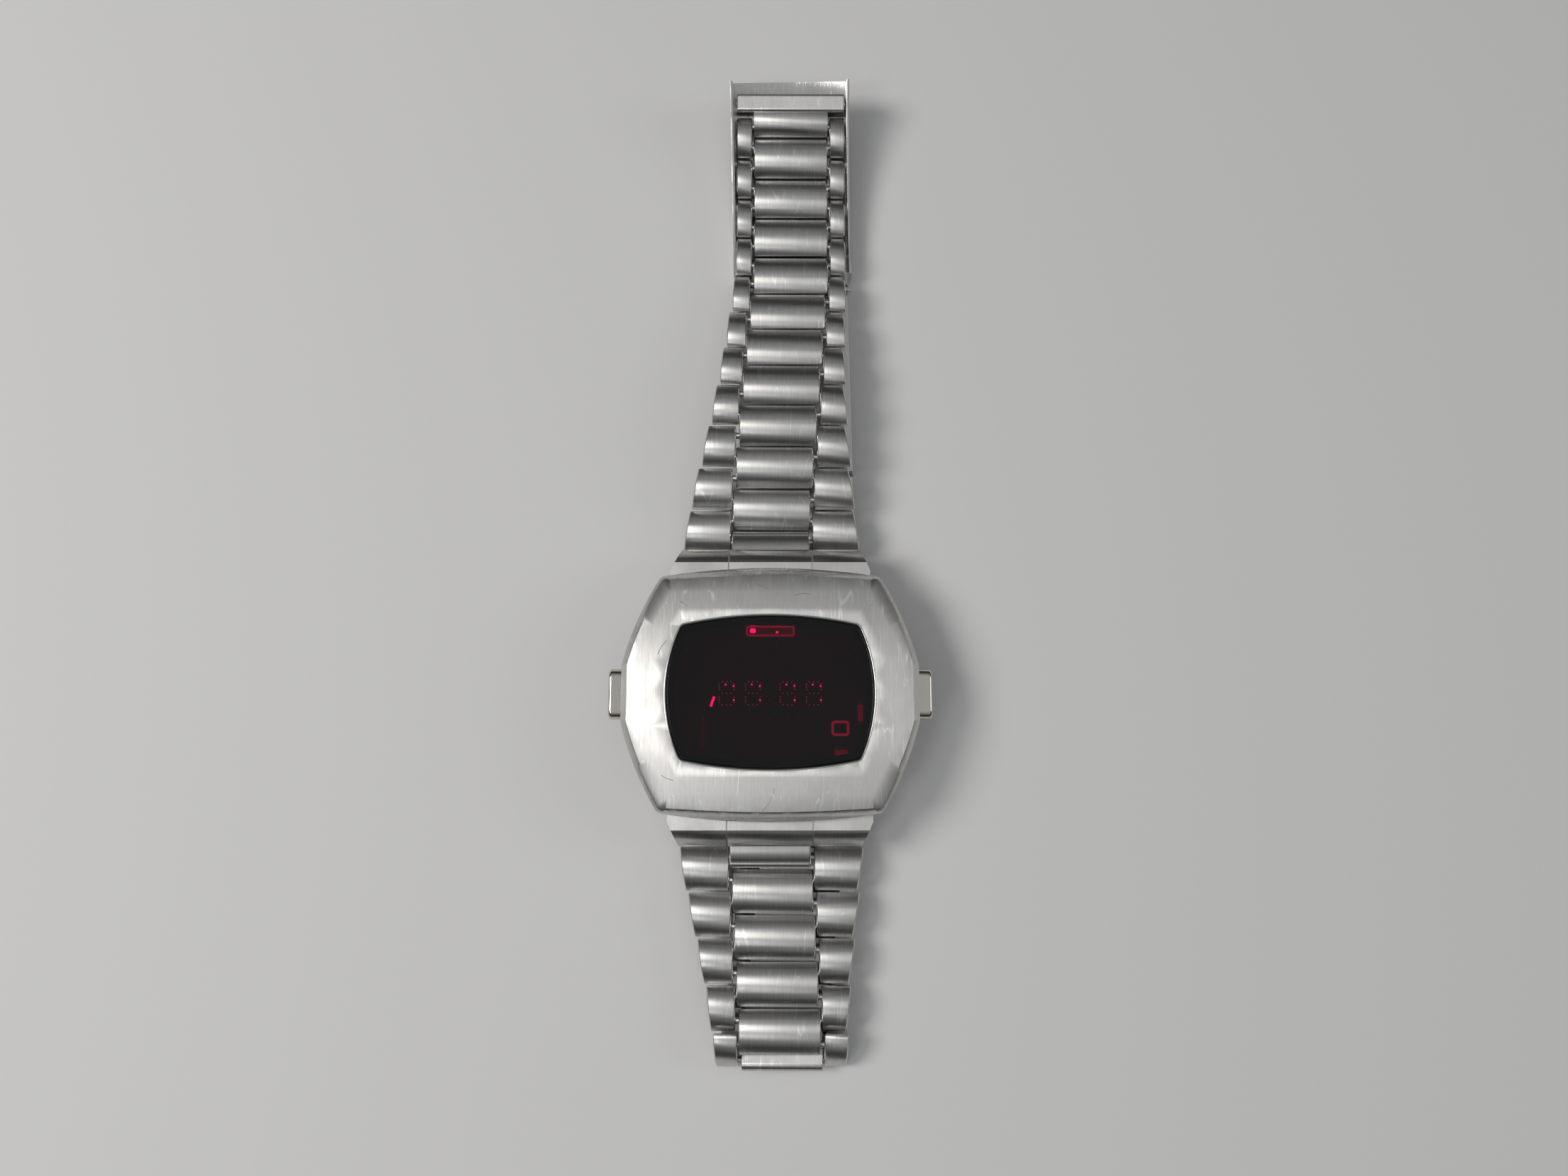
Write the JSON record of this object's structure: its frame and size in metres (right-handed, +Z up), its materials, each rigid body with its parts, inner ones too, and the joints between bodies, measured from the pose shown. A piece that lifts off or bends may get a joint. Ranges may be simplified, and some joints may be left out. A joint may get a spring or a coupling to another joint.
{
  "type": "digital wristwatch",
  "caption": "Wristwatch with a red light display behind a dark crystal, on a tapering steel link bracelet with an open folding clasp.",
  "frame": {"origin": "on the ground under the middle of the case, in the underside of the clasp's long blade", "axes": "+X towards 3 o'clock, +Y towards 12 o'clock along the bracelet, +Z up out of the crystal"},
  "size_m": [0.0438, 0.1413, 0.0123],
  "materials": {
    "link_steel": "satin, brushed along the bracelet, polished sides",
    "clasp_steel": "satin sheet",
    "case_steel": "satin top brushed from 12 to 6 o'clock, polished flanks",
    "red_crystal": "polished dark red filter",
    "seal_rubber": "matte",
    "module_plastic": "matte",
    "board": "satin circuit board",
    "display": "gloss",
    "sensor": "gloss",
    "chip": "matte",
    "bright_can": "polished can",
    "trimmer": "ceramic",
    "cell_steel": "satin nickel",
    "contact_brass": "satin",
    "spring_steel": "satin"
  },
  "bodies": {
    "case": {"back_gasket": "seal_rubber", "battery_contact": "contact_brass", "button_cells": "cell_steel", "case_back": "case_steel", "case_shell": "case_steel", "circuit_board": "board", "controller_chip": "chip", "crystal": "red_crystal", "crystal_gasket": "seal_rubber", "led_display": "display", "left_button_spring": "spring_steel", "light_sensor": "sensor", "lower_end_piece": "case_steel", "module_frame": "module_plastic", "quartz_crystal": "bright_can", "right_button_spring": "spring_steel", "trimmer_capacitor": "trimmer", "upper_end_piece": "case_steel"},
    "upper_side_links_01": {"upper_side_links_01": "link_steel"},
    "upper_centre_link_01": {"upper_centre_link_01": "link_steel"},
    "upper_side_links_02": {"upper_side_links_02": "link_steel"},
    "upper_centre_link_02": {"upper_centre_link_02": "link_steel"},
    "upper_side_links_03": {"upper_side_links_03": "link_steel"},
    "upper_centre_link_03": {"upper_centre_link_03": "link_steel"},
    "upper_side_links_04": {"upper_side_links_04": "link_steel"},
    "upper_centre_link_04": {"upper_centre_link_04": "link_steel"},
    "upper_side_links_05": {"upper_side_links_05": "link_steel"},
    "upper_centre_link_05": {"upper_centre_link_05": "link_steel"},
    "upper_side_links_06": {"upper_side_links_06": "link_steel"},
    "upper_centre_link_06": {"upper_centre_link_06": "link_steel"},
    "upper_side_links_07": {"upper_side_links_07": "link_steel"},
    "upper_centre_link_07": {"upper_centre_link_07": "link_steel"},
    "upper_side_links_08": {"upper_side_links_08": "link_steel"},
    "upper_centre_link_08": {"upper_centre_link_08": "link_steel"},
    "upper_side_links_09": {"upper_side_links_09": "link_steel"},
    "upper_centre_link_09": {"upper_centre_link_09": "link_steel"},
    "upper_side_links_10": {"upper_side_links_10": "link_steel"},
    "upper_centre_link_10": {"upper_centre_link_10": "link_steel"},
    "upper_side_links_11": {"upper_side_links_11": "link_steel"},
    "bracelet_tee": {"bracelet_tee": "link_steel"},
    "lower_side_links_01": {"lower_side_links_01": "link_steel"},
    "lower_centre_link_01": {"lower_centre_link_01": "link_steel"},
    "lower_side_links_02": {"lower_side_links_02": "link_steel"},
    "lower_centre_link_02": {"lower_centre_link_02": "link_steel"},
    "lower_side_links_03": {"lower_side_links_03": "link_steel"},
    "lower_centre_link_03": {"lower_centre_link_03": "link_steel"},
    "lower_side_links_04": {"lower_side_links_04": "link_steel"},
    "lower_centre_link_04": {"lower_centre_link_04": "link_steel"},
    "lower_side_links_05": {"lower_side_links_05": "link_steel"},
    "lower_centre_link_05": {"lower_centre_link_05": "link_steel"},
    "hidden_links_1": {"hidden_links_1": "link_steel"},
    "hidden_links_2": {"hidden_links_2": "link_steel"},
    "hidden_links_3": {"hidden_links_3": "link_steel"},
    "hidden_links_4": {"hidden_links_4": "link_steel"},
    "hidden_links_5": {"hidden_links_5": "link_steel"},
    "clasp_long_blade": {"clasp_long_blade": "clasp_steel"},
    "clasp_short_blade": {"clasp_short_blade": "clasp_steel"},
    "clasp_cover": {"clasp_cover": "clasp_steel"},
    "left_button": {"left_button": "case_steel"},
    "right_button": {"right_button": "case_steel"}
  },
  "joints": [
    {"name": "left_button_press", "type": "slide", "parent": "case", "child": "left_button", "axis": [1, 0, 0], "range_m": [0, 0.0006], "stiffness_N_per_m": 800, "deforming": ["left_button_spring"]},
    {"name": "right_button_press", "type": "slide", "parent": "case", "child": "right_button", "axis": [-1, 0, 0], "range_m": [0, 0.0006], "stiffness_N_per_m": 800, "deforming": ["right_button_spring"]},
    {"name": "fold_hinge", "type": "hinge", "parent": "clasp_long_blade", "child": "clasp_short_blade", "pos_m": [0.00368, 0.03183, 0.00075], "axis": [-0.9998, -0.0175, 0], "range_deg": [0, 176]},
    {"name": "cover_hinge", "type": "hinge", "parent": "clasp_short_blade", "child": "clasp_cover", "pos_m": [0.00317, 0.06093, 0.00088], "axis": [0.9998, 0.0175, 0], "range_deg": [0, 163]},
    {"name": "clasp_end_pin", "type": "hinge", "parent": "hidden_links_5", "child": "clasp_long_blade", "pos_m": [0.0045, -0.01521, 0.00105], "axis": [-1, 0, 0], "range_deg": [0, 45]},
    {"name": "lower_pin_10", "type": "hinge", "parent": "lower_side_links_05", "child": "lower_centre_link_05", "pos_m": [0.0016, -0.04834, 0.00178], "axis": [-1, 0, 0], "range_deg": [0, 133]},
    {"name": "lower_pin_09", "type": "hinge", "parent": "lower_centre_link_04", "child": "lower_side_links_05", "pos_m": [0.00144, -0.04596, 0.00364], "axis": [-1, 0, 0], "range_deg": [0, 30]},
    {"name": "hidden_pin_1", "type": "hinge", "parent": "lower_centre_link_05", "child": "hidden_links_1", "pos_m": [0.00188, -0.04541, 0.00105], "axis": [-1, 0, 0], "range_deg": [0, 6]},
    {"name": "upper_pin_01", "type": "hinge", "parent": "case", "child": "upper_side_links_01", "pos_m": [0.0001, 0.0218, 0.0037], "axis": [1, 0, 0], "range_deg": [0, 5]},
    {"name": "upper_pin_22", "type": "hinge", "parent": "upper_side_links_11", "child": "bracelet_tee", "pos_m": [0.00285, 0.08445, 0.00595], "axis": [1, 0, 0], "range_deg": [0, 5]},
    {"name": "lower_pin_01", "type": "hinge", "parent": "case", "child": "lower_side_links_01", "pos_m": [0.00016, -0.0218, 0.0037], "axis": [-1, 0, 0], "range_deg": [0, 5]},
    {"name": "upper_pin_02", "type": "hinge", "parent": "upper_side_links_01", "child": "upper_centre_link_01", "pos_m": [0.0001, 0.02477, 0.00422], "axis": [1, 0, 0], "range_deg": [0, 5]},
    {"name": "upper_pin_03", "type": "hinge", "parent": "upper_centre_link_01", "child": "upper_side_links_02", "pos_m": [0.00033, 0.02773, 0.00485], "axis": [1, 0, 0], "range_deg": [0, 5]},
    {"name": "upper_pin_04", "type": "hinge", "parent": "upper_side_links_02", "child": "upper_centre_link_02", "pos_m": [0.00056, 0.03067, 0.00553], "axis": [1, 0, 0], "range_deg": [0, 5]},
    {"name": "upper_pin_05", "type": "hinge", "parent": "upper_centre_link_02", "child": "upper_side_links_03", "pos_m": [0.00079, 0.03362, 0.00616], "axis": [1, 0, 0], "range_deg": [0, 5]},
    {"name": "upper_pin_06", "type": "hinge", "parent": "upper_side_links_03", "child": "upper_centre_link_03", "pos_m": [0.00102, 0.03661, 0.00663], "axis": [1, 0, 0], "range_deg": [0, 5]},
    {"name": "upper_pin_07", "type": "hinge", "parent": "upper_centre_link_03", "child": "upper_side_links_04", "pos_m": [0.00125, 0.03962, 0.0069], "axis": [1, 0, 0], "range_deg": [0, 5]},
    {"name": "upper_pin_08", "type": "hinge", "parent": "upper_side_links_04", "child": "upper_centre_link_04", "pos_m": [0.00147, 0.04264, 0.00695], "axis": [1, 0, 0], "range_deg": [0, 5]},
    {"name": "upper_pin_09", "type": "hinge", "parent": "upper_centre_link_04", "child": "upper_side_links_05", "pos_m": [0.0017, 0.04565, 0.00674], "axis": [1, 0, 0], "range_deg": [0, 5]},
    {"name": "upper_pin_10", "type": "hinge", "parent": "upper_side_links_05", "child": "upper_centre_link_05", "pos_m": [0.00193, 0.04864, 0.00632], "axis": [1, 0, 0], "range_deg": [0, 5]},
    {"name": "upper_pin_11", "type": "hinge", "parent": "upper_centre_link_05", "child": "upper_side_links_06", "pos_m": [0.00216, 0.0516, 0.00574], "axis": [1, 0, 0], "range_deg": [0, 5]},
    {"name": "upper_pin_12", "type": "hinge", "parent": "upper_side_links_06", "child": "upper_centre_link_06", "pos_m": [0.00239, 0.05456, 0.00511], "axis": [1, 0, 0], "range_deg": [0, 5]},
    {"name": "upper_pin_13", "type": "hinge", "parent": "upper_centre_link_06", "child": "upper_side_links_07", "pos_m": [0.00262, 0.05752, 0.00454], "axis": [1, 0, 0], "range_deg": [0, 5]},
    {"name": "upper_pin_14", "type": "hinge", "parent": "upper_side_links_07", "child": "upper_centre_link_07", "pos_m": [0.00285, 0.0605, 0.00406], "axis": [1, 0, 0], "range_deg": [0, 5]},
    {"name": "upper_pin_15", "type": "hinge", "parent": "upper_centre_link_07", "child": "upper_side_links_08", "pos_m": [0.00285, 0.06351, 0.0038], "axis": [1, 0, 0], "range_deg": [0, 5]},
    {"name": "upper_pin_16", "type": "hinge", "parent": "upper_side_links_08", "child": "upper_centre_link_08", "pos_m": [0.00285, 0.06653, 0.00375], "axis": [1, 0, 0], "range_deg": [0, 5]},
    {"name": "upper_pin_17", "type": "hinge", "parent": "upper_centre_link_08", "child": "upper_side_links_09", "pos_m": [0.00285, 0.06955, 0.00375], "axis": [1, 0, 0], "range_deg": [0, 5]},
    {"name": "upper_pin_18", "type": "hinge", "parent": "upper_side_links_09", "child": "upper_centre_link_09", "pos_m": [0.00285, 0.07257, 0.00385], "axis": [1, 0, 0], "range_deg": [0, 5]},
    {"name": "upper_pin_19", "type": "hinge", "parent": "upper_centre_link_09", "child": "upper_side_links_10", "pos_m": [0.00285, 0.07558, 0.00412], "axis": [1, 0, 0], "range_deg": [0, 5]},
    {"name": "upper_pin_20", "type": "hinge", "parent": "upper_side_links_10", "child": "upper_centre_link_10", "pos_m": [0.00285, 0.07856, 0.00459], "axis": [1, 0, 0], "range_deg": [0, 5]},
    {"name": "upper_pin_21", "type": "hinge", "parent": "upper_centre_link_10", "child": "upper_side_links_11", "pos_m": [0.00285, 0.08152, 0.00522], "axis": [1, 0, 0], "range_deg": [0, 5]},
    {"name": "lower_pin_02", "type": "hinge", "parent": "lower_side_links_01", "child": "lower_centre_link_01", "pos_m": [0.00032, -0.02482, 0.00369], "axis": [-1, 0, 0], "range_deg": [0, 5]},
    {"name": "lower_pin_03", "type": "hinge", "parent": "lower_centre_link_01", "child": "lower_side_links_02", "pos_m": [0.00048, -0.02784, 0.00368], "axis": [-1, 0, 0], "range_deg": [0, 5]},
    {"name": "lower_pin_04", "type": "hinge", "parent": "lower_side_links_02", "child": "lower_centre_link_02", "pos_m": [0.00064, -0.03086, 0.00368], "axis": [-1, 0, 0], "range_deg": [0, 5]},
    {"name": "lower_pin_05", "type": "hinge", "parent": "lower_centre_link_02", "child": "lower_side_links_03", "pos_m": [0.0008, -0.03388, 0.00367], "axis": [-1, 0, 0], "range_deg": [0, 5]},
    {"name": "lower_pin_06", "type": "hinge", "parent": "lower_side_links_03", "child": "lower_centre_link_03", "pos_m": [0.00096, -0.0369, 0.00366], "axis": [-1, 0, 0], "range_deg": [0, 5]},
    {"name": "lower_pin_07", "type": "hinge", "parent": "lower_centre_link_03", "child": "lower_side_links_04", "pos_m": [0.00112, -0.03992, 0.00365], "axis": [-1, 0, 0], "range_deg": [0, 5]},
    {"name": "lower_pin_08", "type": "hinge", "parent": "lower_side_links_04", "child": "lower_centre_link_04", "pos_m": [0.00128, -0.04294, 0.00365], "axis": [-1, 0, 0], "range_deg": [0, 5]},
    {"name": "hidden_pin_2", "type": "hinge", "parent": "hidden_links_1", "child": "hidden_links_2", "pos_m": [0.00244, -0.03937, 0.00105], "axis": [-1, 0, 0], "range_deg": [0, 5]},
    {"name": "hidden_pin_3", "type": "hinge", "parent": "hidden_links_2", "child": "hidden_links_3", "pos_m": [0.003, -0.03333, 0.00105], "axis": [-1, 0, 0], "range_deg": [0, 5]},
    {"name": "hidden_pin_4", "type": "hinge", "parent": "hidden_links_3", "child": "hidden_links_4", "pos_m": [0.00356, -0.02729, 0.00105], "axis": [-1, 0, 0], "range_deg": [0, 5]},
    {"name": "hidden_pin_5", "type": "hinge", "parent": "hidden_links_4", "child": "hidden_links_5", "pos_m": [0.00412, -0.02125, 0.00105], "axis": [-1, 0, 0], "range_deg": [0, 5]}
  ],
  "couplings": [
    {"joint": "cover_hinge", "follows": "fold_hinge", "ratio": 0.92614}
  ]
}
